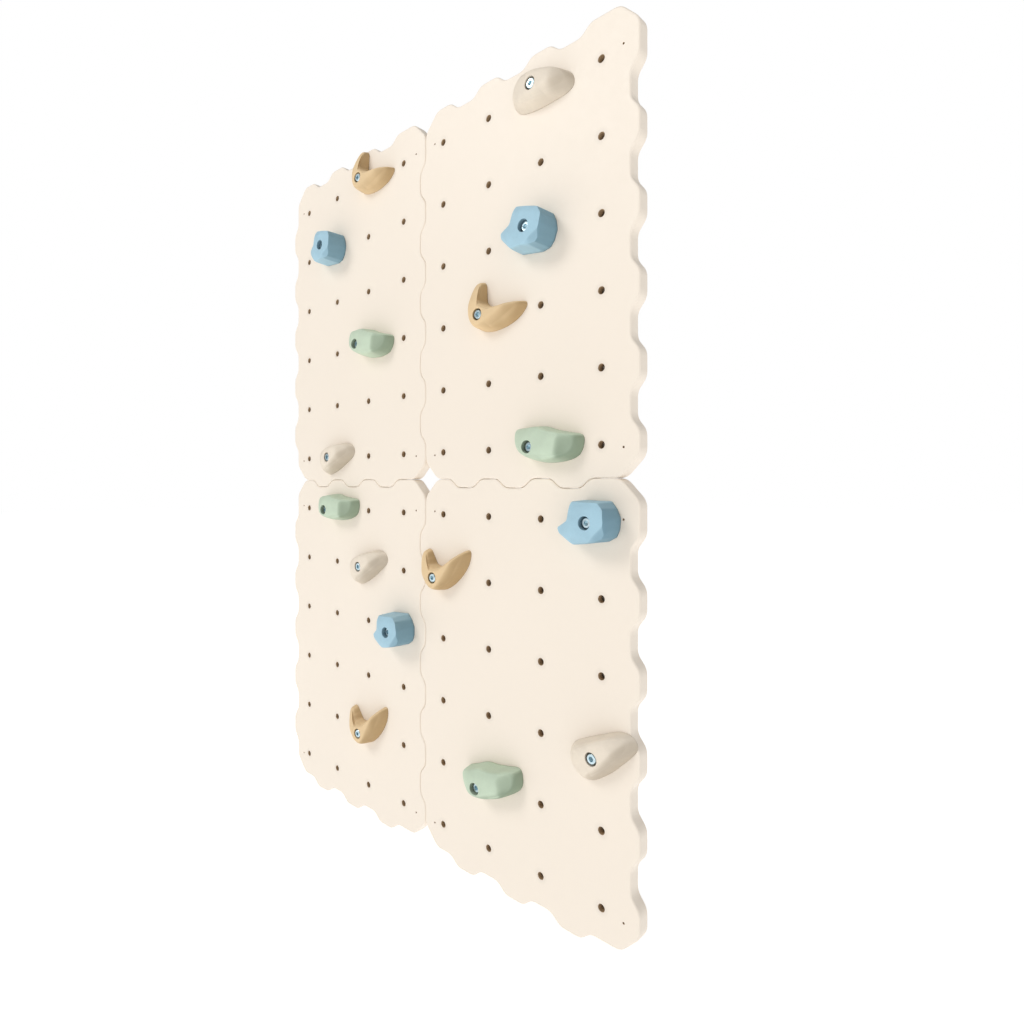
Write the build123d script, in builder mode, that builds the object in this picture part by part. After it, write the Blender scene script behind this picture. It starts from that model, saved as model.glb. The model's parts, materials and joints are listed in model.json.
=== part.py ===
"""Rock climbing wall for children: four scalloped plywood panels, sixteen bolt-on holds.

The wall stands in the XZ plane with its climbing side towards -Y.  The origin is at the
centre of the back, on the plane that lies against the building.  +X is right as seen by
the climber and +Z is up.  All sizes are millimetres.
"""

import os
from math import cos, radians, sin

from build123d import *

os.makedirs("parts", exist_ok=True)

# ---- driving dimensions --------------------------------------------------------------
WALL_WIDTH = 980.0  # peak to peak of the scalloped edges
WALL_HEIGHT = 1440.0
PANEL_THICK = 21.0
PANEL_GAP = 0.6  # the seam between neighbouring panels
WAVE_DEPTH = 16.0  # peak to valley of the scalloped edges
WAVE_FLANK = 20.0  # run of one slope, along the edge
WAVE_ROUND = 24.0
CORNER_CUT = 34.0
CORNER_ROUND = 26.0
EDGE_ROUND = 3.0  # round-over along the front edge
COLUMNS, ROWS = 4, 6  # holes on each panel

HOLE_R = 6.0
HOLE_BREAK = 0.6  # the broken edge of each hole's front rim
SCREW_R = 1.75  # wall screw holes, four to a panel
SCREW_EDGE = 28.0  # from the panel's outermost edges to the screw holes
SCREW_RISE = 5.0  # how far the screw holes lie outside the end rows

TNUT_FLANGE_R = 12.5
TNUT_FLANGE = 1.6
TNUT_POCKET_R = 13.0
TNUT_POCKET = 2.0
TNUT_BARREL_R = 5.9
TNUT_BARREL_END = 10.0  # from the panel's back
TNUT_BORE_R = 5.05
PRONG_CIRCLE_R = 10.0
PRONG = (1.5, 5.0, 7.0)  # thickness, width, length
PRONG_TAPER = 4.0

SHANK_R = 5.0
BOLT_END = 1.0  # the bolt stops this far inside the panel's back
HEAD_R, HEAD = 8.0, 10.0
HEAD_BREAK = 1.0
SOCKET_FLAT_R, SOCKET = 4.0, 5.5  # half across the flats, depth
WASHER_R, WASHER = 10.0, 2.0
WASHER_BORE_R = 5.4
RECESS_R = 10.5  # the bolt's recess in a hold
HOLD_BORE_R = 5.1

# ---- worked out from them ------------------------------------------------------------
SWING = WAVE_DEPTH / 2
TILE_W = (WALL_WIDTH - WAVE_DEPTH + PANEL_GAP) / 2
TILE_H = (WALL_HEIGHT - WAVE_DEPTH + PANEL_GAP) / 2
HALF_W = (TILE_W - PANEL_GAP) / 2
HALF_H = (TILE_H - PANEL_GAP) / 2
PITCH_X = TILE_W / COLUMNS
PITCH_Z = TILE_H / ROWS
SCREW_SPAN_X = 2 * (HALF_W - SCREW_EDGE)
SCREW_SPAN_Z = PITCH_Z * (ROWS - 1) + 2 * SCREW_RISE

# panel name: centre in tiles from the middle of the wall
PANELS = {
    "upper_left": (-0.5, 0.5),
    "upper_right": (0.5, 0.5),
    "lower_left": (-0.5, -0.5),
    "lower_right": (0.5, -0.5),
}

# Each kind of hold: its outline where it meets the panel and its outline at the shoulder,
# around the bolt's axis and point for point; the shoulder's and the crown's height; the
# crown's size as a share of the shoulder's; the height of the washer's seat.  A faceted hold
# is straight from level to level, any other is drawn through one more level, its bulge.
BULGE_RISE, BULGE_TAPER = 0.6, 0.3  # share of the shoulder's height, of the way in to it
BLOCK = {
    "foot": [(34, -11.5), (36, 5.5), (30, 20), (21, 31.5), (-29, 34.5), (-40, 3.5), (-67, -7),
             (-64, -18.5), (-32, -35), (14, -30), (28, -23)],
    "shoulder": [(31, -17.5), (31, -2), (32, 20), (22, 29), (-27, 31.5), (-35, 3.5), (-60, -8),
                 (-57, -15), (-29, -31.5), (14, -27.5), (26, -24)],
    "rise": (38.0, 47.0),
    "crown": 0.5,
    "seat": 28.0,
    "faceted": True,
}
BEAN = {
    "foot": [(89, 7), (85, 20.5), (61, 25), (37, 29), (12, 35), (-14, 33.5), (-39, 31.5),
             (-42, 20), (-36, 2.5), (-21, -14.5), (4, -23.5), (32, -24.5), (60, -20.5),
             (81, -11)],
    "shoulder": [(79, 7), (76, 17), (58, 20), (37, 23.5), (12, 29.5), (-11, 28), (-32, 26),
                 (-34, 17), (-29, 3.5), (-16, -7), (6, -14.5), (31, -16), (55, -13.5),
                 (72, -6.5)],
    "rise": (33.0, 38.0),
    "crown": 0.72,
    "seat": 19.0,
    "faceted": False,
}
HORN = {
    "foot": [(90, 17), (84, 25), (60, 22), (36, 18), (10, 18), (-4, 26), (-8, 41), (-11, 56),
             (-20, 62), (-31, 56), (-37, 38), (-37, 14), (-29, -8), (-12, -23), (10, -26),
             (34, -22), (58, -13), (78, 0)],
    "shoulder": [(76, 15), (74, 19), (57, 17), (36, 12), (8, 12), (-9, 24), (-13, 40),
                 (-15, 52), (-21, 56), (-27, 51), (-31, 36), (-31, 14), (-24, -6), (-10, -18),
                 (9, -20), (28, -17), (45, -8), (62, 4)],
    "rise": (25.0, 30.0),
    "crown": 0.9,
    "seat": 16.5,
    "faceted": False,
}
WEDGE = {
    "foot": [(70, 15), (61.5, 27.5), (42.5, 33), (12.5, 29.5), (-19, 24.5), (-47.5, 17),
             (-60.5, -2), (-54, -25.5), (-28.5, -40), (6.5, -30.5), (44.5, -10.5), (64.5, 3)],
    "shoulder": [(56, 16), (51, 24), (37, 27.5), (12.5, 24), (-14, 17), (-34, 9.5), (-41.5, -4),
                 (-38, -17), (-23.5, -27.5), (4, -20), (35, -4), (51, 7.5)],
    "rise": (24.0, 30.0),
    "crown": 0.6,
    "seat": 15.5,
    "faceted": False,
}

# hold name: kind, column and row from the wall's top left, roll in degrees (+ = to the left)
HOLDS = {
    "horn_upper_left": (HORN, 2, 0, -15.0),
    "block_upper_left": (BLOCK, 1, 1, -11.0),
    "bean_upper_left": (BEAN, 2, 3, -7.0),
    "wedge_upper_left": (WEDGE, 1, 5, -2.0),
    "wedge_upper_right": (WEDGE, 6, 0, -26.0),
    "block_upper_right": (BLOCK, 6, 2, -13.0),
    "horn_upper_right": (HORN, 5, 3, -8.0),
    "bean_upper_right": (BEAN, 6, 5, -2.0),
    "bean_lower_left": (BEAN, 1, 6, 2.0),
    "wedge_lower_left": (WEDGE, 2, 7, 4.0),
    "block_lower_left": (BLOCK, 3, 8, 7.0),
    "horn_lower_left": (HORN, 2, 10, 30.0),
    "block_lower_right": (BLOCK, 7, 6, 2.0),
    "horn_lower_right": (HORN, 4, 7, 22.0),
    "wedge_lower_right": (WEDGE, 7, 9, 14.0),
    "bean_lower_right": (BEAN, 5, 10, 19.0),
}


def panel_plane(name):
    """The plane of a panel's back, at the panel's centre, facing the climber."""
    across, up = PANELS[name]
    return Plane((across * TILE_W, 0, up * TILE_H), x_dir=(1, 0, 0), z_dir=(0, -1, 0))


def hold_plane(column, row, roll):
    """The plane of the wall's front at a hole, turned by the hold's roll."""
    x = (column - COLUMNS + 0.5) * PITCH_X
    z = (ROWS - 0.5 - row) * PITCH_Z
    turn = radians(roll)
    return Plane((x, -PANEL_THICK, z), x_dir=(cos(turn), 0, sin(turn)), z_dir=(0, -1, 0))


def wave(count, pitch):
    """Corner points (along, swing) of one scalloped edge, from low to high, without its ends.

    The edge is swung out by SWING at each of count holes, and back by as much between them.
    """
    flat = (pitch - 2 * WAVE_FLANK) / 2
    points = []
    for gap in range(count - 1):
        middle = (gap - count / 2 + 1) * pitch
        points += [
            (middle - flat / 2 - WAVE_FLANK, SWING),
            (middle - flat / 2, -SWING),
            (middle + flat / 2, -SWING),
            (middle + flat / 2 + WAVE_FLANK, SWING),
        ]
    return points


def panel_outline():
    """The panel's corner points, counter-clockwise: right, top, left and bottom edges."""
    right, left = HALF_W + SWING, -HALF_W + SWING
    top, bottom = HALF_H + SWING, -HALF_H + SWING
    upright = wave(ROWS, PITCH_Z)
    level = wave(COLUMNS, PITCH_X)
    points = [(right, bottom + CORNER_CUT)]
    points += [(HALF_W + swing, z) for z, swing in upright]
    points += [(right, top - CORNER_CUT), (right - CORNER_CUT, top)]
    points += [(x, HALF_H + swing) for x, swing in reversed(level)]
    points += [(left + CORNER_CUT, top), (left, top - CORNER_CUT)]
    points += [(-HALF_W + swing, z) for z, swing in reversed(upright)]
    points += [(left, bottom + CORNER_CUT), (left + CORNER_CUT, bottom)]
    points += [(x, -HALF_H + swing) for x, swing in level]
    points += [(right - CORNER_CUT, bottom)]
    return points


def make_panel(name):
    """One plywood panel with its grid of holes, T-nut pockets and screw holes."""
    plane = panel_plane(name)
    front = plane.offset(PANEL_THICK)
    with BuildPart() as panel:
        with BuildSketch(plane) as outline:
            with BuildLine():
                Polyline(*panel_outline(), close=True)
            make_face()
            end_column = PITCH_X * (COLUMNS - 1) / 2
            end_row = PITCH_Z * (ROWS - 1) / 2
            corners = [
                v for v in outline.vertices()
                if abs(v.X - SWING) > end_column and abs(v.Y - SWING) > end_row
            ]
            fillet(corners, radius=CORNER_ROUND)
            waves = [
                v for v in outline.vertices()
                if abs(v.X - SWING) < end_column or abs(v.Y - SWING) < end_row
            ]
            fillet(waves, radius=WAVE_ROUND)
        extrude(amount=PANEL_THICK)
        fillet(panel.faces().sort_by(Axis.Y)[0].outer_wire().edges(), radius=EDGE_ROUND)
        with BuildSketch(plane):
            with GridLocations(PITCH_X, PITCH_Z, COLUMNS, ROWS):
                Circle(TNUT_POCKET_R)
        extrude(amount=TNUT_POCKET, mode=Mode.SUBTRACT)
        with Locations(front):
            with GridLocations(PITCH_X, PITCH_Z, COLUMNS, ROWS):
                CounterSinkHole(HOLE_R, HOLE_R + HOLE_BREAK, depth=PANEL_THICK)
            with Locations((SWING, 0)):
                with GridLocations(SCREW_SPAN_X, SCREW_SPAN_Z, 2, 2):
                    Hole(SCREW_R, depth=PANEL_THICK)
    panel.part.label = "panel_" + name
    return panel.part


def make_tnuts(name):
    """The panel's pronged T-nuts, one pressed into the back of each hole."""
    plane = panel_plane(name)
    seat = plane.offset(TNUT_POCKET)
    with BuildPart() as tnuts:
        with BuildSketch(seat):
            with GridLocations(PITCH_X, PITCH_Z, COLUMNS, ROWS):
                Circle(TNUT_FLANGE_R)
        extrude(amount=-TNUT_FLANGE)
        with BuildSketch(seat):
            with GridLocations(PITCH_X, PITCH_Z, COLUMNS, ROWS):
                Circle(TNUT_BARREL_R)
        extrude(amount=TNUT_BARREL_END - TNUT_POCKET)
        with BuildSketch(seat):
            with GridLocations(PITCH_X, PITCH_Z, COLUMNS, ROWS):
                with PolarLocations(PRONG_CIRCLE_R, 4):
                    Rectangle(PRONG[0], PRONG[1])
        extrude(amount=PRONG[2], taper=PRONG_TAPER)
        with BuildSketch(plane):
            with GridLocations(PITCH_X, PITCH_Z, COLUMNS, ROWS):
                Circle(TNUT_BORE_R)
        extrude(amount=TNUT_BARREL_END, mode=Mode.SUBTRACT)
    tnuts.part.label = "tnuts_" + name
    return tnuts.part


def blend(kind, share):
    """The outline a share of the way from a hold's foot to its shoulder."""
    return [
        (a + (c - a) * share, b + (d - b) * share)
        for (a, b), (c, d) in zip(kind["foot"], kind["shoulder"])
    ]


def make_hold(name, kind, plane):
    """One moulded hold, with the bolt's bore and the recess for its head."""
    shoulder, crown = kind["rise"]
    top = [(x * kind["crown"], y * kind["crown"]) for x, y in kind["shoulder"]]
    if kind["faceted"]:
        levels = [(0, blend(kind, 0)), (shoulder, blend(kind, 1)), (crown, top)]
    else:
        levels = [(0, blend(kind, 0)), (shoulder * BULGE_RISE, blend(kind, BULGE_TAPER))]
        levels += [(shoulder, blend(kind, 1)), (crown, top)]
    with BuildPart() as hold:
        for height, points in levels:
            with BuildSketch(plane.offset(height)):
                with BuildLine():
                    if kind["faceted"]:
                        Polyline(*points, close=True)
                    else:
                        Spline(*points, periodic=True)
                make_face()
        loft(ruled=kind["faceted"])
        with Locations(plane.offset(crown)):
            CounterBoreHole(HOLD_BORE_R, RECESS_R, crown - kind["seat"], depth=crown)
    hold.part.label = "hold_" + name
    return hold.part


def make_bolt(name, kind, plane):
    """A socket head bolt from the hold's recess into the T-nut."""
    under_head = kind["seat"] + WASHER
    with BuildPart() as bolt:
        with BuildSketch(plane.offset(under_head)):
            Circle(SHANK_R)
        extrude(amount=-(under_head + PANEL_THICK - BOLT_END))
        with BuildSketch(plane.offset(under_head)):
            Circle(HEAD_R)
        extrude(amount=HEAD)
        chamfer(bolt.faces().sort_by(Axis.Y)[0].outer_wire().edges(), length=HEAD_BREAK)
        with BuildSketch(plane.offset(under_head + HEAD)):
            RegularPolygon(SOCKET_FLAT_R, 6, major_radius=False)
        extrude(amount=-SOCKET, mode=Mode.SUBTRACT)
    bolt.part.label = "bolt_" + name
    return bolt.part


def make_washer(name, kind, plane):
    """The flat washer under a bolt's head."""
    with BuildPart() as washer:
        with BuildSketch(plane.offset(kind["seat"])):
            Circle(WASHER_R)
            Circle(WASHER_BORE_R, mode=Mode.SUBTRACT)
        extrude(amount=WASHER)
    washer.part.label = "washer_" + name
    return washer.part


pieces = []
for panel_name in PANELS:
    pieces.append(make_panel(panel_name))
    pieces.append(make_tnuts(panel_name))
for hold_name, (hold_kind, hold_column, hold_row, hold_roll) in HOLDS.items():
    at = hold_plane(hold_column, hold_row, hold_roll)
    pieces.append(make_hold(hold_name, hold_kind, at))
    pieces.append(make_bolt(hold_name, hold_kind, at))
    pieces.append(make_washer(hold_name, hold_kind, at))

for piece in pieces:
    export_step(piece, f"parts/{piece.label}.step")
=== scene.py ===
"""A children's climbing wall: scalloped plywood panels with bolt-on resin holds.

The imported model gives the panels, the fasteners and every place.  This script gives them
their materials, and rebuilds the holds on the same outlines, with fronts that are creased
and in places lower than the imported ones.
Lengths are metres unless a comment says millimetres, +Z is up and the climbing side faces -Y.
"""

import json

import bpy
import numpy as np
from bpy.props import FloatProperty, FloatVectorProperty, PointerProperty
from mathutils import Euler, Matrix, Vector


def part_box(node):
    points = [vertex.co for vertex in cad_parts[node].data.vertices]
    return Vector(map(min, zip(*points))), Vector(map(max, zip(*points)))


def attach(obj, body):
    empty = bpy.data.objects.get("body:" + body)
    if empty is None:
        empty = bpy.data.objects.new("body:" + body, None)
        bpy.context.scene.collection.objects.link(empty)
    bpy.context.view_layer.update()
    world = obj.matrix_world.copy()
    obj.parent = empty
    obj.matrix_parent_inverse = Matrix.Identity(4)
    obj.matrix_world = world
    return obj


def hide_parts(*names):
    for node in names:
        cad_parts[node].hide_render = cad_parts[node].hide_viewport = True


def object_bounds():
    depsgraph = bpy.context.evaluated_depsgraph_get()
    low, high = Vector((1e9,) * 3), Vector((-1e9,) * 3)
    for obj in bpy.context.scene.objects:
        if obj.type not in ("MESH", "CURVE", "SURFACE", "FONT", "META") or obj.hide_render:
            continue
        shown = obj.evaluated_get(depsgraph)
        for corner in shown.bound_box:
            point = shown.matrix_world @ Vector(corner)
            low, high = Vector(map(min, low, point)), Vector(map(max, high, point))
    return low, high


bl_info = {
    "name": "Climbing wall",
    "version": (1, 0, 0),
    "blender": (4, 5, 0),
    "location": "3D View > Sidebar > Climbing wall",
    "description": "Builds a scalloped climbing wall with four shapes of hold",
    "category": "Object",
}

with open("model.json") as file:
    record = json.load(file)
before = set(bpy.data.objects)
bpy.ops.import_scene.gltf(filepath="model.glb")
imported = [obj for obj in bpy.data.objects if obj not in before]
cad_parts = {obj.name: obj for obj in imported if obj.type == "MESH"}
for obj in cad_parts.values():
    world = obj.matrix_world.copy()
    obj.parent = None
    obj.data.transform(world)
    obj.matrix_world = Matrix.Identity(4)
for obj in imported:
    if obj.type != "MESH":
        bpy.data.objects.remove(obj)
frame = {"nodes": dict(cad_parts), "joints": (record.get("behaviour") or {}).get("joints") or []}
CAD_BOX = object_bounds()
NODES = frame["nodes"]
JOINTS = {joint["child"]: joint for joint in frame["joints"]}

MM = 0.001
PANEL_NAMES = ("upper_left", "upper_right", "lower_left", "lower_right")
WALL_BOTTOM = CAD_BOX[0][2]
PANEL_LOW, PANEL_HIGH = (np.array(corner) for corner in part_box("panel_upper_right"))
FRONT_Y = PANEL_LOW[1]
SWING = 8 * MM  # half the depth of the scalloped edges
HALF_GAP = 0.3 * MM  # half of the seam between two panels
PITCH_X = (PANEL_HIGH[0] - SWING + HALF_GAP) / 4  # four columns on each side of the middle
PITCH_Z = (PANEL_HIGH[2] - SWING + HALF_GAP) / 6  # six rows above and six below it

# Each kind of hold, in millimetres around its bolt's axis.  foot and shoulder are outlines,
# point for point, where the hold meets the panel and where its front begins.  A fold bends
# the front down by its slope beyond a crease: (direction in degrees, distance, slope, softness).
# The front also falls by dome towards the shoulder.  rolls turn the four holds of a kind to
# the left on their bolts, in degrees, in the order of PANEL_NAMES.
BLOCK = {
    "foot": ((34, -11.5), (36, 5.5), (30, 20), (21, 31.5), (-29, 34.5), (-40, 3.5), (-67, -7),
             (-64, -18.5), (-32, -35), (14, -30), (28, -23)),
    "shoulder": ((31, -17.5), (31, -2), (32, 20), (22, 29), (-27, 31.5), (-35, 3.5), (-60, -8),
                 (-57, -15), (-29, -31.5), (14, -27.5), (26, -24)),
    "folds": ((0, 14, 0.12, 1.5), (88, 22, 0.3, 1.5), (150, 18, 0.2, 2.0),
              (205, 18, 0.22, 2.0), (262, 20, 0.35, 1.5), (312, 24, 0.5, 1.0)),
    "crown": 46.3, "dome": 0.0, "seat": 28.0, "round": 4.0, "corner": 0.3, "tight": 0.95,
    "wave": 0.35, "rolls": (-11.0, -13.0, 7.0, 2.0),
}
BEAN = {
    "foot": ((89, 7), (85, 20.5), (61, 25), (37, 29), (12, 35), (-14, 33.5), (-39, 31.5),
             (-42, 20), (-36, 2.5), (-21, -14.5), (4, -23.5), (32, -24.5), (60, -20.5),
             (81, -11)),
    "shoulder": ((79, 7), (76, 17), (58, 20), (37, 23.5), (12, 29.5), (-11, 28), (-32, 26),
                 (-34, 17), (-29, 3.5), (-16, -7), (6, -14.5), (31, -16), (55, -13.5),
                 (72, -6.5)),
    "folds": ((-92, 8, 0.35, 2.0), (92, 16, 0.2, 3.0), (160, 14, 0.3, 4.0), (-4, 56, 0.6, 2.0)),
    "crown": 37.4, "dome": 3.0, "seat": 19.0, "round": 0.0, "corner": 0.35, "tight": 0.85,
    "wave": 0.4, "rolls": (-7.0, -2.0, 2.0, 19.0),
}
HORN = {
    "foot": ((90, 17), (84, 25), (60, 22), (36, 18), (10, 18), (-4, 26), (-8, 41), (-11, 56),
             (-20, 62), (-31, 56), (-37, 38), (-37, 14), (-29, -8), (-12, -23), (10, -26),
             (34, -22), (58, -13), (78, 0)),
    "shoulder": ((76, 15), (74, 19), (57, 17), (36, 12), (8, 12), (-9, 24), (-13, 40),
                 (-15, 52), (-21, 56), (-27, 51), (-31, 36), (-31, 14), (-24, -6), (-10, -18),
                 (9, -20), (28, -17), (45, -8), (62, 4)),
    "folds": ((100, 20, 0.3, 5.0), (-62, 16, 0.45, 2.0), (12, 56, 0.25, 4.0),
              (225, 12, 0.1, 4.0)),
    "crown": 29.5, "dome": 5.0, "seat": 16.5, "round": 0.0, "corner": 0.45, "tight": 0.85,
    "wave": 0.3, "rolls": (-15.0, -8.0, 30.0, 22.0),
}
WEDGE = {
    "foot": ((70, 15), (61.5, 27.5), (42.5, 33), (12.5, 29.5), (-19, 24.5), (-47.5, 17),
             (-60.5, -2), (-54, -25.5), (-28.5, -40), (6.5, -30.5), (44.5, -10.5), (64.5, 3)),
    "shoulder": ((56, 16), (51, 24), (37, 27.5), (12.5, 24), (-14, 17), (-34, 9.5), (-41.5, -4),
                 (-38, -17), (-23.5, -27.5), (4, -20), (35, -4), (51, 7.5)),
    "folds": ((195, 8, 0.2, 7.0), (300, 11, 0.5, 2.0), (24, 36, 0.5, 3.0)),
    "crown": 29.5, "dome": 3.5, "seat": 15.5, "round": 0.0, "corner": 0.5, "tight": 0.7,
    "wave": 0.3, "rolls": (-2.0, -26.0, 4.0, 14.0),
}

# What all holds share, in millimetres where it is a length.
AROUND = 288  # points round a hold
BORE_R, RECESS_R = 5.1, 10.5  # the bolt's bore and the recess for its head
RIM = 0.8  # rounding of the recess's rim
CREASE = 0.15  # how far the points next to a sharp edge stand from it
LIFT = 0.1  # clear of the panels, so that a hold slides over them as it turns
FRONT_ROWS, SIDE_ROWS = 25, 21  # rings of points over the front and down the side
DOME_RUN = 18.0  # shorter ways out to the shoulder take a smaller dome
STEEPEST = 0.8  # slope at which the front may pass over into the side
KNEE_SHARE = 0.4  # the side's knee is at least this share of the shoulder's height
SWELL_RUN = 6.0  # height over which the unevenness grows from nothing at the foot
SEED_STEP = 1.3  # sets the unevenness of one panel's hold apart from the next one's
HIDDEN, PLAIN = -1.0, 0.0  # edge marks: in the bore, recess or underneath, painted in shade; in the open
PAINTED_SHADE_FACING = np.array([0.94, 0.0, -0.34])  # the direction that the holds' sides with painted shade face

# The panels' drilled places and layers, in metres.
DRILLED_R = 6.15 * MM  # just over the radius of a bolt hole
SCREWED_R = 1.85 * MM  # just over the radius of a wall screw's hole
SCREW_INSET = (28 + 8) * MM  # the screws' half spread is this much less than the panel's
SCREW_RISE = 2.5 * PITCH_Z + 5 * MM  # from the panel's middle, up or down
BACK_LAYER = 2.2 * MM  # how deep the bare back reaches
PLY = 2.1 * MM  # thickness of one ply
THREAD_PITCH = 1.5 * MM

# The sockets of a Mix node set to colours.
MIX_SHARE, MIX_FIRST, MIX_SECOND, MIX_RESULT = 0, 6, 7, 2

# The studio, in metres.
FLOOR_DROP, FLOOR_RADIUS = 0.4, 30.0
FLOOR_RINGS, FLOOR_SPOKES = 8, 64
MIDDLE = (0, 0, 0)
KEY_PLACE, KEY_SIZE = (-4.0, -6.5, 5.5), 3.5
FILL_PLACE, FILL_SIZE = (6.0, -2.5, 1.0), 4.0
SENSOR_WIDTH = 36.0  # millimetres


# ---- surfaces --------------------------------------------------------------------------
def closed_curve(points, at, rounded):
    """Points on a closed outline at the parameters at, which count from point to point.

    A rounded outline is a closed Catmull-Rom curve: on each span the four nearest points
    are weighed by its cubic.  Any other outline is straight from point to point.
    """
    p = np.array(points, float)
    count = len(p)
    first = np.floor(at).astype(int)
    t = (at - first)[:, None]
    a, b, c, d = (p[(first + step) % count] for step in (-1, 0, 1, 2))
    if not rounded:
        return b + (c - b) * t
    bend = (2 * a - 5 * b + 4 * c - d) * t**2 + (3 * b - a - 3 * c + d) * t**3
    return b + 0.5 * ((c - a) * t + bend)


def even_parameters(points, count, rounded):
    """Parameters that divide a closed outline into count equal lengths."""
    dense = np.linspace(0, len(points), 64 * len(points) + 1)
    line = closed_curve(points, dense, rounded)
    run = np.hypot(*np.diff(line, axis=0).T)
    along = np.concatenate([[0], np.cumsum(run)])
    return np.interp(np.arange(count) * along[-1] / count, along, dense)


def soften(outline, width):
    """A closed outline averaged along itself by a raised cosine, which rounds its corners."""
    step = np.hypot(*(outline[1] - outline[0]))
    reach = max(1, int(round(width / step)))
    offsets = np.arange(-reach, reach + 1)
    weights = 1 + np.cos(np.pi * offsets / (reach + 1))
    parts = [w * np.roll(outline, k, axis=0) for k, w in zip(offsets, weights)]
    return sum(parts) / weights.sum()


def front_height(kind, plan):
    """Height of a hold's front: its crown less its folds.

    A fold takes off its slope times how far the point lies past the crease, and a soft plus,
    softness * log(1 + exp(distance / softness)), rounds the crease.
    """
    height = np.full(plan.shape[:-1], kind["crown"])
    for turn, distance, slope, soft in kind["folds"]:
        angle = np.radians(turn)
        past = plan[..., 0] * np.cos(angle) + plan[..., 1] * np.sin(angle) - distance
        height = height - slope * soft * np.logaddexp(0, past / soft)
    return height


def ring(angles, radius, height):
    """A circle round the bolt at one height, or at one height for each angle."""
    height = np.broadcast_to(height, angles.shape)
    return np.stack([radius * np.cos(angles), radius * np.sin(angles), height], axis=-1)


def hold_surface(kind):
    """A hold as one closed grid of points, in millimetres, with how near each is to an edge.

    One parameter goes round the outline.  The other follows a closed profile: up the bolt's
    bore, across the washer's seat, up the recess, over its rounded rim, out over the front to
    the shoulder, down the side on a cubic Bezier curve, and back under the hold.  The front is
    front_height - dome * share ** 3, where share is how far out it has come, from 0 to 1, and
    dome is less where the way out is under DOME_RUN.  The Bezier curve sets out along the
    front's last slope towards a knee and comes down from the same knee to the foot.
    """
    rounded = kind["round"] == 0
    at = even_parameters(kind["foot"], AROUND, rounded)
    foot = closed_curve(kind["foot"], at, rounded)
    shoulder = closed_curve(kind["shoulder"], at, rounded)
    if not rounded:
        foot = soften(foot, kind["round"])
        shoulder = soften(shoulder, kind["round"])
    angles = np.unwrap(np.arctan2(foot[:, 1], foot[:, 0]))
    rim = front_height(kind, (RECESS_R + RIM) * np.stack([np.cos(angles), np.sin(angles)], -1))
    rows, edge = [], []

    def add(row, nearness=PLAIN):
        rows.append(row)
        edge.append(np.full(AROUND, nearness))

    for height in (LIFT + CREASE, 0.5 * kind["seat"], kind["seat"] - CREASE):
        add(ring(angles, BORE_R, height), HIDDEN)
    for radius in (BORE_R + CREASE, 0.5 * (BORE_R + RECESS_R), RECESS_R - CREASE):
        add(ring(angles, radius, kind["seat"]), HIDDEN)
    for share in (0.02, 0.25, 0.5, 0.75, 1.0):
        add(ring(angles, RECESS_R, kind["seat"] + (rim - RIM - kind["seat"]) * share), HIDDEN)
    for share in (0.35, 0.7, 1.0):
        turn = share * np.pi / 2
        radius = RECESS_R + RIM * (1 - np.cos(turn))
        add(ring(angles, radius, rim - RIM * (1 - np.sin(turn))), 0.6)
    start = rows[-1][:, :2]
    run = np.hypot(*(shoulder - start).T)
    dome = kind["dome"] * np.minimum(1, run / DOME_RUN)
    for share in np.linspace(0, 1, FRONT_ROWS + 1)[1:]:
        plan = start + (shoulder - start) * share
        row = np.column_stack([plan, front_height(kind, plan) - dome * share**3])
        add(row, max(0, (share - 0.9) * 8))
    top = rows[-1]
    slope = (top[:, 2] - rows[-2][:, 2]) / (run / FRONT_ROWS)
    base = np.column_stack([foot, np.full(AROUND, LIFT)])
    bend = foot + (shoulder - foot) * kind["corner"]
    fall = np.clip(slope, -STEEPEST, 0) * np.hypot(*(bend - shoulder).T)
    knee = np.column_stack([bend, np.maximum(top[:, 2] + fall, KNEE_SHARE * top[:, 2])])
    hip = top + (knee - top) * kind["tight"]
    heel = base + (knee - base) * kind["tight"]
    for t in np.linspace(0, 1, SIDE_ROWS + 1)[1:]:
        row = (1 - t) ** 3 * top + 3 * (1 - t) ** 2 * t * hip + 3 * (1 - t) * t**2 * heel
        add(row + t**3 * base, max(0, 1 - abs(t - 0.3) * 4))
    centre = ring(angles, BORE_R, LIFT)
    for share in (0.02, 0.5, 0.98):
        add(base + (centre - base) * share, HIDDEN)
    return np.array(rows), np.array(edge)


def ripple(points, amount, seed):
    """Hand-shaped unevenness: three crossed sine waves, each about 30 to 60 mm long.

    Their sum is halved and multiplied by amount; seed turns and shifts all three.
    """
    total = np.zeros(points.shape[:-1])
    for turn, length in ((0.4, 34.0), (1.7, 47.0), (2.9, 61.0)):
        along = points[..., 0] * np.cos(turn + seed) + points[..., 1] * np.sin(turn + seed)
        total = total + np.sin(2 * np.pi * (along / length + 0.02 * points[..., 2]) + seed * 3)
    return amount * total / 2


def painted_shade_share(grid):
    """How far each point of a closed grid faces away from the light, from 0 to 1.

    The normal is the cross product of the steps along the grid's two ways; its share along the
    shaded direction, right and a little down, sets the painted shade, 0 where it faces the light.
    """
    along = np.roll(grid, -1, axis=1) - np.roll(grid, 1, axis=1)
    up = np.roll(grid, -1, axis=0) - np.roll(grid, 1, axis=0)
    normal = np.cross(up, along)
    normal /= np.linalg.norm(normal, axis=-1, keepdims=True) + 1e-12
    return np.clip(normal @ PAINTED_SHADE_FACING, 0, 1)


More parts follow.
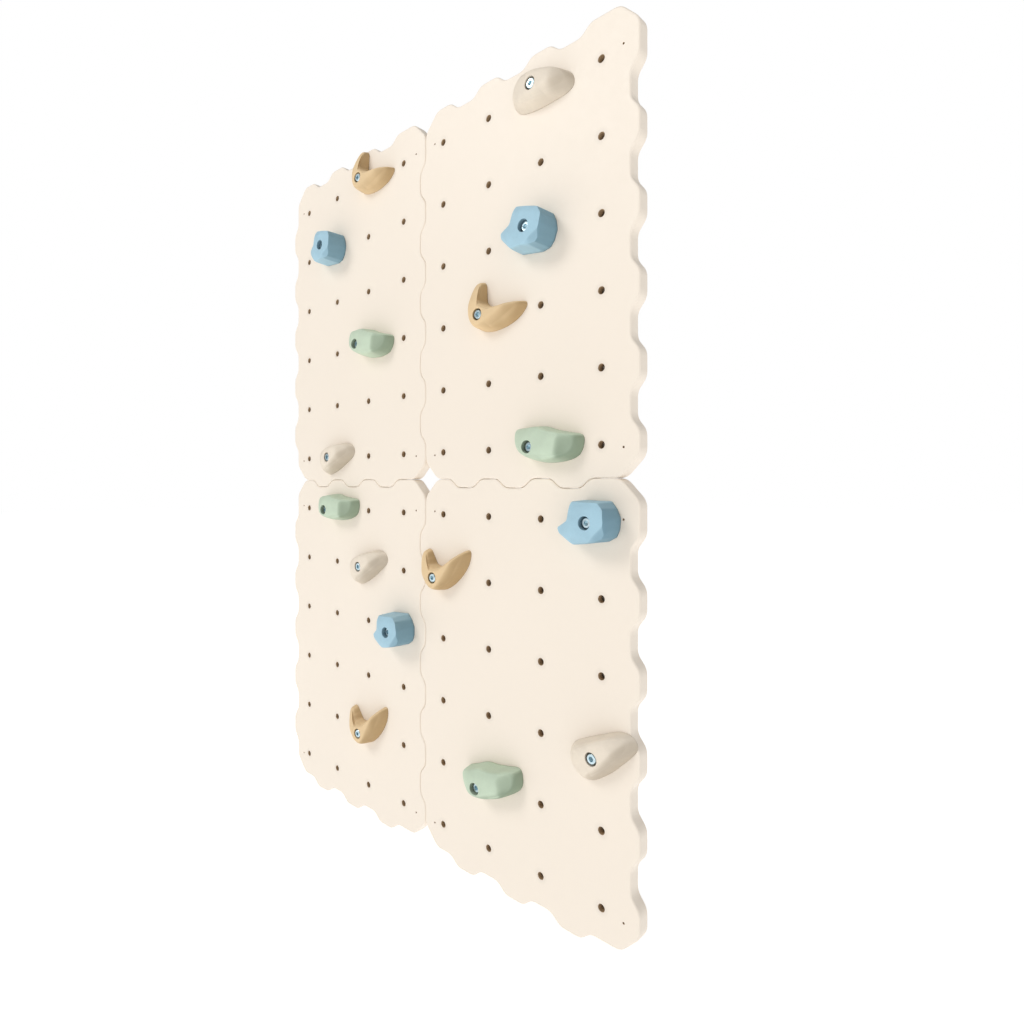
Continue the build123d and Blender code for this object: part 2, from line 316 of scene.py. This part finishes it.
def place_hold(name, kind, roll, seed):
    """The hold's mesh round its bolt, turned by its roll, standing out from the panels."""
    grid, edge = hold_surface(kind)
    outside = edge >= PLAIN
    grown = np.clip(grid[..., 2] / SWELL_RUN, 0, 1)
    grid[..., 2] += ripple(grid, kind["wave"], seed) * outside * grown
    turn = np.radians(roll)
    x = grid[..., 0] * np.cos(turn) - grid[..., 1] * np.sin(turn)
    z = grid[..., 0] * np.sin(turn) + grid[..., 1] * np.cos(turn)
    centre = np.array(JOINTS[f"{name}_hold"]["pos_m"])
    world = np.stack([centre[0] + x * MM, FRONT_Y - grid[..., 2] * MM, centre[2] + z * MM], -1)
    # edge marks wear and the places painted in shade; the second mark is how much painted shade
    # each point takes
    return grid_object(f"resin_hold_{name}", world, {"edge": edge, "painted_lee_shade": painted_shade_share(world)})


def grid_object(name, grid, marks):
    """A mesh object from a grid of points closed both ways, with numbers for its points."""
    rows, columns = grid.shape[:2]
    index = np.arange(rows * columns).reshape(rows, columns)
    right = np.roll(index, -1, axis=1)
    above = np.roll(index, -1, axis=0)
    across = np.roll(right, -1, axis=0)
    faces = np.stack([index, above, across, right], axis=-1).reshape(-1, 4)
    mesh = bpy.data.meshes.new(name)
    mesh.from_pydata(grid.reshape(-1, 3), [], faces.tolist())
    mesh.shade_smooth()
    for mark, values in marks.items():
        mesh.attributes.new(mark, "FLOAT", "POINT").data.foreach_set("value", values.ravel())
    piece = bpy.data.objects.new(name, mesh)
    bpy.context.scene.collection.objects.link(piece)
    return piece


# ---- materials -------------------------------------------------------------------------
class Shader:
    """A material's node tree, with short ways to add and join its nodes."""

    def __init__(self, name):
        self.material = bpy.data.materials.new(name)
        self.material.use_nodes = True
        self.tree = self.material.node_tree
        self.surface = self.tree.nodes["Principled BSDF"]
        self.place = self.add("TexCoord").outputs["Object"]

    def add(self, kind, **settings):
        """A node of a kind, such as TexNoise, with its settings."""
        node = self.tree.nodes.new("ShaderNode" + kind)
        for key, value in settings.items():
            setattr(node, key, value)
        return node

    def feed(self, socket, value):
        """Joins an output to an input, or sets the input to a plain value."""
        if isinstance(value, bpy.types.NodeSocket):
            self.tree.links.new(value, socket)
        else:
            socket.default_value = value

    def math(self, operation, *values):
        """A number worked out from one, two or three others."""
        node = self.add("Math", operation=operation)
        for socket, value in zip(node.inputs, values):
            self.feed(socket, value)
        return node.outputs[0]

    def vector(self, operation, *values):
        """A vector, or a length, worked out from other vectors."""
        node = self.add("VectorMath", operation=operation)
        for socket, value in zip(node.inputs, values):
            self.feed(socket, value)
        return node.outputs["Value" if operation == "LENGTH" else "Vector"]

    def noise(self, scale, detail=3.0, rough=0.5, place=None):
        """Fractal noise from 0 to 1, its scale in features per metre."""
        node = self.add("TexNoise")
        self.feed(node.inputs["Vector"], place or self.place)
        for socket, value in (("Scale", scale), ("Detail", detail), ("Roughness", rough)):
            node.inputs[socket].default_value = value
        return node.outputs["Fac"]

    def ramp(self, value, low, high, start=0.0, end=1.0):
        """A value's range from low to high, carried over to start and end, smoothly."""
        node = self.add("MapRange", interpolation_type="SMOOTHSTEP")
        for socket, given in zip(node.inputs, (value, low, high, start, end)):
            self.feed(socket, given)
        return node.outputs[0]

    def mix(self, share, first, second):
        """One colour going over to another."""
        node = self.add("Mix", data_type="RGBA")
        self.feed(node.inputs[MIX_SHARE], share)
        self.feed(node.inputs[MIX_FIRST], first)
        self.feed(node.inputs[MIX_SECOND], second)
        return node.outputs[MIX_RESULT]

    def bump(self, height, depth, under=None):
        """A bumpy normal, its depth in metres, laid over another one if given."""
        node = self.add("Bump")
        node.inputs["Distance"].default_value = depth
        self.feed(node.inputs["Height"], height)
        if under is not None:
            self.feed(node.inputs["Normal"], under)
        return node.outputs["Normal"]


def shade(colour, factor):
    """A colour made lighter or darker, with full alpha."""
    return tuple(min(1.0, part * factor) for part in colour[:3]) + (1.0,)


def in_shadow(colour, factor):
    """A colour as it looks on a shaded side: darker and more saturated."""
    return tuple(factor * part**1.3 for part in colour[:3]) + (1.0,)


def painted_plywood(name, looks, low, high):
    """Satin cream paint over plywood: roller texture on the face, faint plies on the edges,
    bare wood on the back and inside the bolt and screw holes, darker there as painted shade."""
    s = Shader(name)
    split = s.add("SeparateXYZ")
    s.feed(split.inputs[0], s.place)
    depth = split.outputs[1]
    normal = s.add("SeparateXYZ")
    s.feed(normal.inputs[0], s.add("NewGeometry").outputs["Normal"])
    facing = s.math("ABSOLUTE", normal.outputs[1])

    flat = s.vector("MULTIPLY", s.place, (1, 0, 1))
    shifted = s.vector("ADD", flat, (PITCH_X / 2, 0, PITCH_Z / 2))
    half = (PITCH_X / 2, 1, PITCH_Z / 2)
    cell = s.vector("WRAP", shifted, half, tuple(-part for part in half))
    from_hole = s.vector("LENGTH", cell)
    bored = s.math("LESS_THAN", from_hole, DRILLED_R)
    middle = (low + high) / 2
    screws = (middle[0] + SWING, 0, middle[2])
    mirrored = s.vector("ABSOLUTE", s.vector("SUBTRACT", flat, screws))
    span = (high - low) / 2
    corner = (span[0] - SCREW_INSET, 0, SCREW_RISE)
    from_screw = s.vector("LENGTH", s.vector("SUBTRACT", mirrored, corner))
    drilled = s.math("LESS_THAN", from_screw, SCREWED_R)
    back = s.math("GREATER_THAN", depth, -BACK_LAYER)
    edge = s.math("LESS_THAN", facing, 0.5)
    behind = s.math("MULTIPLY", back, s.math("SUBTRACT", 1.0, edge))
    bare = s.math("MAXIMUM", s.math("MAXIMUM", bored, drilled), behind)

    tone = s.noise(3.5, 4)
    paint = s.mix(tone, shade(looks.paint, 0.985), shade(looks.paint, 1.015))
    smudge = s.ramp(from_hole, 6 * MM, 16 * MM, 0.93, 1.0)
    paint_tint = s.add("HueSaturation")
    s.feed(paint_tint.inputs["Color"], paint)
    s.feed(paint_tint.inputs["Value"], smudge)

    stretched = s.vector("MULTIPLY", s.place, (9, 9, 0.6))
    rings = s.add("TexWave", bands_direction="X", wave_profile="SIN")
    s.feed(rings.inputs["Vector"], stretched)
    for socket, value in (("Scale", 1.2), ("Distortion", 7.0), ("Detail", 3.0),
                          ("Detail Scale", 1.5)):
        rings.inputs[socket].default_value = value
    fibres = s.noise(60, 4, 0.6, s.vector("MULTIPLY", s.place, (12, 12, 0.7)))
    grain = s.math("ADD", s.math("MULTIPLY", rings.outputs["Fac"], 0.4),
                   s.math("MULTIPLY", fibres, 0.6))
    wood = s.mix(grain, shade(looks.wood, 0.82), shade(looks.wood, 1.1))
    # painted shade: the wood inside the bolt and screw holes is darker
    wood_with_painted_hole_shade = s.mix(s.math("MAXIMUM", bored, drilled), wood, shade(looks.wood, 0.7))
    s.feed(s.surface.inputs["Base Color"], s.mix(bare, paint_tint.outputs["Color"], wood_with_painted_hole_shade))

    stipple = s.noise(700, 2, 0.5)
    roll = s.noise(120, 2, 0.5)
    plies = s.math("SINE", s.math("MULTIPLY", depth, 2 * np.pi / PLY))
    relief = s.math("ADD", s.math("MULTIPLY", stipple, 0.5), s.math("MULTIPLY", roll, 0.5))
    texture = s.bump(relief, 0.15 * MM)
    layered = s.math("MULTIPLY", s.math("MULTIPLY", plies, edge), 0.5)
    s.feed(s.surface.inputs["Normal"], s.bump(layered, 0.06 * MM, texture))
    s.feed(s.surface.inputs["Roughness"], s.math("ADD", s.math("MULTIPLY", bare, 0.3),
                                                 s.ramp(roll, 0.3, 0.7, 0.42, 0.5)))
    s.surface.inputs["Specular IOR Level"].default_value = 0.35
    return s.material


def sandy_resin(name, colour, pale, deep, painted_shade_depth):
    """Cast resin with a fine sandy skin, cloudy in tone, paler on its worn edges, with painted
    shade on the sides that face away from the light and inside the bore and recess and
    underneath."""
    s = Shader(name)
    mark = s.add("Attribute", attribute_name="edge").outputs["Fac"]
    painted_lee_shade = s.add("Attribute", attribute_name="painted_lee_shade").outputs["Fac"]
    cloud = s.noise(28, 4, 0.55)
    speck = s.noise(1500, 2, 0.6)
    base = s.mix(s.ramp(cloud, 0.3, 0.7), shade(colour, 0.95), shade(colour, 1.05))
    grit = s.ramp(speck, 0.35, 0.65, 0.0, 0.22)
    base = s.mix(grit, base, shade(colour, deep))
    worn = s.math("MULTIPLY", s.ramp(mark, 0.2, 1.0, 0.0, 0.5), s.ramp(cloud, 0.35, 0.6))
    base = s.mix(worn, base, shade(colour, pale))
    # painted shade on the sides that face away from the key light
    base = s.mix(s.ramp(painted_lee_shade, 0.15, 0.75), base, in_shadow(colour, painted_shade_depth))
    # painted shade in the bore, the recess and under the hold
    painted_recess_shade = s.ramp(mark, -0.6, -0.1, 0.45, 0.0)
    s.feed(s.surface.inputs["Base Color"], s.mix(painted_recess_shade, base, shade(colour, 0.35)))
    sand = s.bump(s.noise(900, 3, 0.7), 0.25 * MM)
    s.feed(s.surface.inputs["Normal"], s.bump(s.noise(160, 3, 0.6), 0.5 * MM, sand))
    s.feed(s.surface.inputs["Roughness"], s.ramp(cloud, 0.3, 0.7, 0.6, 0.75))
    s.surface.inputs["Specular IOR Level"].default_value = 0.3
    return s.material


def zinc_plate(name, looks, tarnish):
    """Bright zinc plate on steel: a blue-grey metal with cloudy tarnish and fine scratches."""
    s = Shader(name)
    cloud = s.noise(180, 3, 0.6)
    colour = s.mix(s.ramp(cloud, 0.35, 0.65), shade(looks.zinc, 1.0), shade(looks.zinc, tarnish))
    s.feed(s.surface.inputs["Base Color"], colour)
    scratches = s.noise(2500, 2, 0.7, s.vector("MULTIPLY", s.place, (1, 1, 0.15)))
    s.feed(s.surface.inputs["Normal"], s.bump(scratches, 0.03 * MM))
    s.feed(s.surface.inputs["Roughness"], s.ramp(cloud, 0.3, 0.7, 0.22, 0.4))
    s.surface.inputs["Metallic"].default_value = 1.0
    return s.material


def threaded_zinc(name, looks):
    """The T-nuts: dull zinc plate on the flange, going over down the barrel to a dark, less
    metallic colour that is painted shade, with a fine thread of 1.5 mm pitch."""
    s = Shader(name)
    split = s.add("SeparateXYZ")
    s.feed(split.inputs[0], s.place)
    depth = s.math("MULTIPLY", split.outputs[1], -1.0)
    cloud = s.noise(180, 3, 0.6)
    plate = s.mix(s.ramp(cloud, 0.35, 0.65), shade(looks.zinc, 0.9), shade(looks.zinc, 0.65))
    # painted shade: deeper down the barrel the colour goes dark and less metallic
    barrel_in_painted_shade = s.ramp(depth, 2.0 * MM, 4.5 * MM)
    s.feed(s.surface.inputs["Base Color"], s.mix(barrel_in_painted_shade, plate, shade(looks.wood, 0.3)))
    thread = s.math("SINE", s.math("MULTIPLY", depth, 2 * np.pi / THREAD_PITCH))
    s.feed(s.surface.inputs["Normal"], s.bump(s.math("MULTIPLY", thread, barrel_in_painted_shade), 0.15 * MM))
    s.feed(s.surface.inputs["Metallic"], s.ramp(barrel_in_painted_shade, 0.0, 1.0, 1.0, 0.4))
    s.feed(s.surface.inputs["Roughness"], s.ramp(cloud, 0.3, 0.7, 0.35, 0.5))
    return s.material


def seamless_white(name, glow):
    """The studio's white floor: matt, with the faintest cloudiness and a glow of its own."""
    s = Shader(name)
    white = s.mix(s.noise(0.8, 2), (0.93, 0.93, 0.93, 1), (0.95, 0.95, 0.95, 1))
    s.feed(s.surface.inputs["Base Color"], white)
    s.feed(s.surface.inputs["Emission Color"], white)
    s.surface.inputs["Emission Strength"].default_value = glow
    s.surface.inputs["Roughness"].default_value = 0.9
    s.surface.inputs["Specular IOR Level"].default_value = 0.1
    return s.material


# ---- settings --------------------------------------------------------------------------
def colour_setting(name, description, default):
    """A colour that a user may change."""
    return FloatVectorProperty(
        name=name, description=description, default=default, subtype="COLOR",
        size=3, min=0.0, max=1.0,
    )


class WallLooks(bpy.types.PropertyGroup):
    """Colours of the wall's finishes."""

    paint: colour_setting("Panel paint", "Satin paint on the panels", (0.89, 0.80, 0.69))
    wood: colour_setting("Bare wood", "Unpainted plywood on the back", (0.62, 0.43, 0.25))
    block: colour_setting("Block holds", "Blue resin", (0.385, 0.59, 0.70))
    bean: colour_setting("Bean holds", "Green resin", (0.56, 0.67, 0.52))
    horn: colour_setting("Horn holds", "Tan resin", (0.78, 0.58, 0.34))
    wedge: colour_setting("Wedge holds", "Cream resin", (0.81, 0.72, 0.60))
    zinc: colour_setting("Zinc plate", "Bolts, washers and T-nuts", (0.62, 0.77, 0.83))


class StudioSettings(bpy.types.PropertyGroup):
    """Camera and light."""

    eye: FloatVectorProperty(
        name="Camera place", description="Where the camera stands", unit="LENGTH",
        default=(0.9787, FRONT_Y - 0.8235, 0.0),
    )
    yaw: FloatProperty(
        name="Camera turn", description="Turn of the view to the left", unit="ROTATION",
        default=float(np.radians(41.99)),
    )
    lens: FloatProperty(name="Lens", description="Focal length in millimetres", default=22.52)
    shift: FloatProperty(name="Shift", description="Vertical shift of the view", default=-0.028)
    key: FloatProperty(name="Key light", description="Power in watts", default=262.0)
    fill: FloatProperty(name="Fill light", description="Power in watts", default=40.0)
    ambient: FloatProperty(name="Ambient", description="Strength of the white room", default=0.48)
    glow: FloatProperty(name="Floor glow", description="Strength of the lit floor", default=0.6)


# ---- operators -------------------------------------------------------------------------
def dress(node, material):
    """Gives a carried-over piece its material, in place of the ones it had."""
    piece = NODES[node]
    piece.data.materials.clear()
    piece.data.materials.append(material)


class WALL_OT_panels(bpy.types.Operator):
    """Paints the four scalloped plywood panels"""

    bl_idname = "wall.panels"
    bl_label = "Plywood panels"

    def execute(self, context):
        for name in PANEL_NAMES:
            low, high = (np.array(corner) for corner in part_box(f"panel_{name}"))
            material = painted_plywood(f"painted_plywood_{name}", context.scene.wall_looks,
                                       low, high)
            dress(f"panel_{name}", material)
        return {"FINISHED"}


class WALL_OT_fasteners(bpy.types.Operator):
    """Plates the T-nuts, bolts and washers"""

    bl_idname = "wall.fasteners"
    bl_label = "Bolts, washers and T-nuts"

    def execute(self, context):
        looks = context.scene.wall_looks
        bright = zinc_plate("zinc_plate_bright", looks, 0.85)
        dull = zinc_plate("zinc_plate_dull", looks, 0.65)
        threaded = threaded_zinc("zinc_plate_threaded", looks)
        finishes = {"bolt": bright, "washer": dull, "tnuts": threaded}
        for node in sorted(NODES):
            kind = node.split("_")[0]
            if kind in finishes:
                dress(node, finishes[kind])
        return {"FINISHED"}


def make_holds(shape, kind, material):
    """One hold of a shape on each panel."""
    for number, name in enumerate(PANEL_NAMES):
        piece = place_hold(f"{shape}_{name}", kind, kind["rolls"][number], SEED_STEP * number)
        piece.data.materials.append(material)
        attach(piece, f"{shape}_{name}_hold")
        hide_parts(f"hold_{shape}_{name}")


class WALL_OT_blocks(bpy.types.Operator):
    """Builds the blue faceted block holds"""

    bl_idname = "wall.blocks"
    bl_label = "Block holds"

    def execute(self, context):
        resin = sandy_resin("blue_resin", context.scene.wall_looks.block, 1.12, 0.75, 0.64)
        make_holds("block", BLOCK, resin)
        return {"FINISHED"}


class WALL_OT_beans(bpy.types.Operator):
    """Builds the green bean holds"""

    bl_idname = "wall.beans"
    bl_label = "Bean holds"

    def execute(self, context):
        resin = sandy_resin("green_resin", context.scene.wall_looks.bean, 1.12, 0.78, 0.58)
        make_holds("bean", BEAN, resin)
        return {"FINISHED"}


class WALL_OT_horns(bpy.types.Operator):
    """Builds the tan V-shaped horn holds"""

    bl_idname = "wall.horns"
    bl_label = "Horn holds"

    def execute(self, context):
        resin = sandy_resin("tan_resin", context.scene.wall_looks.horn, 1.12, 0.8, 0.64)
        make_holds("horn", HORN, resin)
        return {"FINISHED"}


class WALL_OT_wedges(bpy.types.Operator):
    """Builds the cream wedge holds"""

    bl_idname = "wall.wedges"
    bl_label = "Wedge holds"

    def execute(self, context):
        resin = sandy_resin("cream_resin", context.scene.wall_looks.wedge, 1.08, 0.85, 0.7)
        make_holds("wedge", WEDGE, resin)
        return {"FINISHED"}


def white_world(ambient):
    """A white room that lights the wall softly from all round."""
    world = bpy.data.worlds.new("white_room")
    bpy.context.scene.world = world
    world.use_nodes = True
    tree = world.node_tree
    room = tree.nodes["Background"]
    room.inputs["Color"].default_value = (1, 1, 1, 1)
    room.inputs["Strength"].default_value = ambient
    seen = tree.nodes.new("ShaderNodeBackground")
    seen.inputs["Color"].default_value = (1, 1, 1, 1)
    path = tree.nodes.new("ShaderNodeLightPath")
    mix = tree.nodes.new("ShaderNodeMixShader")
    tree.links.new(path.outputs["Is Camera Ray"], mix.inputs[0])
    tree.links.new(room.outputs[0], mix.inputs[1])
    tree.links.new(seen.outputs[0], mix.inputs[2])
    tree.links.new(mix.outputs[0], tree.nodes["World Output"].inputs["Surface"])


def soft_box(name, place, towards, size, power):
    """A square soft box that faces a point."""
    light = bpy.data.lights.new(name, "AREA")
    light.size = size
    light.energy = power
    lamp = bpy.data.objects.new(name, light)
    bpy.context.scene.collection.objects.link(lamp)
    lamp.location = place
    aim = np.array(towards) - np.array(place)
    flat = np.hypot(aim[0], aim[1])
    lamp.rotation_euler = Euler((np.arctan2(flat, -aim[2]), 0, np.arctan2(-aim[0], aim[1])))


def floor_disc(height, radius):
    """A round floor: rings and spokes from a small middle ring out to the radius."""
    spokes = np.linspace(0, 2 * np.pi, FLOOR_SPOKES + 1)[:-1]
    rings = radius * np.linspace(0, 1, FLOOR_RINGS + 1) ** 2
    x = np.outer(rings, np.cos(spokes))
    y = np.outer(rings, np.sin(spokes))
    points = np.stack([x, y, np.full_like(x, height)], axis=-1)[1:].reshape(-1, 3)
    index = np.arange(FLOOR_RINGS * FLOOR_SPOKES).reshape(FLOOR_RINGS, FLOOR_SPOKES)
    turned = np.roll(index, -1, axis=1)
    quads = np.stack([index[:-1], index[1:], turned[1:], turned[:-1]], axis=-1)
    mesh = bpy.data.meshes.new("studio_floor")
    mesh.from_pydata(points, [], quads.reshape(-1, 4).tolist() + [index[0].tolist()])
    piece = bpy.data.objects.new("studio_floor", mesh)
    bpy.context.scene.collection.objects.link(piece)
    return piece


class WALL_OT_studio(bpy.types.Operator):
    """Sets the floor, the light and the camera"""

    bl_idname = "wall.studio"
    bl_label = "Studio"

    def execute(self, context):
        scene = context.scene
        studio = scene.wall_studio
        floor = floor_disc(WALL_BOTTOM - FLOOR_DROP, FLOOR_RADIUS)
        floor.data.materials.append(seamless_white("seamless_white", studio.glow))
        white_world(studio.ambient)
        soft_box("key_light", KEY_PLACE, MIDDLE, KEY_SIZE, studio.key)
        soft_box("fill_light", FILL_PLACE, MIDDLE, FILL_SIZE, studio.fill)
        camera = bpy.data.cameras.new("camera")
        camera.lens = studio.lens
        camera.sensor_width = SENSOR_WIDTH
        camera.shift_y = studio.shift
        view = bpy.data.objects.new("camera", camera)
        scene.collection.objects.link(view)
        view.location = studio.eye
        view.rotation_euler = (np.pi / 2, 0, studio.yaw)
        scene.camera = view
        scene.view_settings.view_transform = "Standard"
        return {"FINISHED"}


OPERATORS = (
    WALL_OT_panels,
    WALL_OT_fasteners,
    WALL_OT_blocks,
    WALL_OT_beans,
    WALL_OT_horns,
    WALL_OT_wedges,
    WALL_OT_studio,
)


class WALL_PT_sidebar(bpy.types.Panel):
    """Lists the wall's pieces in the sidebar"""

    bl_label = "Climbing wall"
    bl_idname = "WALL_PT_sidebar"
    bl_space_type = "VIEW_3D"
    bl_region_type = "UI"
    bl_category = "Climbing wall"

    def draw(self, context):
        for settings in (context.scene.wall_looks, context.scene.wall_studio):
            for name in settings.__annotations__:
                self.layout.prop(settings, name)
        for operator in OPERATORS:
            self.layout.operator(operator.bl_idname)


CLASSES = (WallLooks, StudioSettings, *OPERATORS, WALL_PT_sidebar)


def register():
    """Registers the classes and hangs the settings on the scene."""
    for cls in CLASSES:
        bpy.utils.register_class(cls)
    bpy.types.Scene.wall_looks = PointerProperty(type=WallLooks)
    bpy.types.Scene.wall_studio = PointerProperty(type=StudioSettings)


def unregister():
    """Takes the settings and the classes away again."""
    del bpy.types.Scene.wall_looks
    del bpy.types.Scene.wall_studio
    for cls in reversed(CLASSES):
        bpy.utils.unregister_class(cls)


def main():
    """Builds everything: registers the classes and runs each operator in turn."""
    register()
    for operator in OPERATORS:
        group, name = operator.bl_idname.split(".")
        getattr(getattr(bpy.ops, group), name)()


if __name__ == "__main__":
    main()
